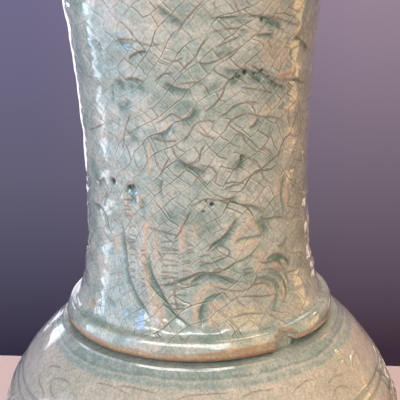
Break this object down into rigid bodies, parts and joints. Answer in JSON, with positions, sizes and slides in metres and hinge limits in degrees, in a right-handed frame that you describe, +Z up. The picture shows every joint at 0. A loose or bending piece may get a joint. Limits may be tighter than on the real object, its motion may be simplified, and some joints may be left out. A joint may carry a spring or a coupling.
{
  "type": "trumpet-mouth vase",
  "caption": "Tall celadon vase with a trumpet mouth, a straight carved neck, a notched collar, a round shoulder, a tapering body and a spreading foot.",
  "frame": {"origin": "centre of the foot rim's underside, on the surface that the vase stands on", "axes": "+Z up along the vase's axis, -Y towards the front of the picture, +X to its right"},
  "size_m": [0.21, 0.21, 0.45],
  "materials": {
    "celadon_glaze": "glossy grey-green glaze with a fine crackle, deeper in the carving",
    "thin_glaze": "the same glaze run thin over the edge of the collar, buff brown and glossy",
    "foot_clay": "glazed outside, bare orange-brown stoneware on the rim that it stands on"
  },
  "bodies": {
    "root": {"foot_ring": "foot_clay", "base_saucer": "celadon_glaze", "lower_body": "celadon_glaze", "shoulder": "celadon_glaze", "neck": "celadon_glaze", "collar_strip": "thin_glaze", "mouth_trumpet": "celadon_glaze"}
  },
  "joints": []
}
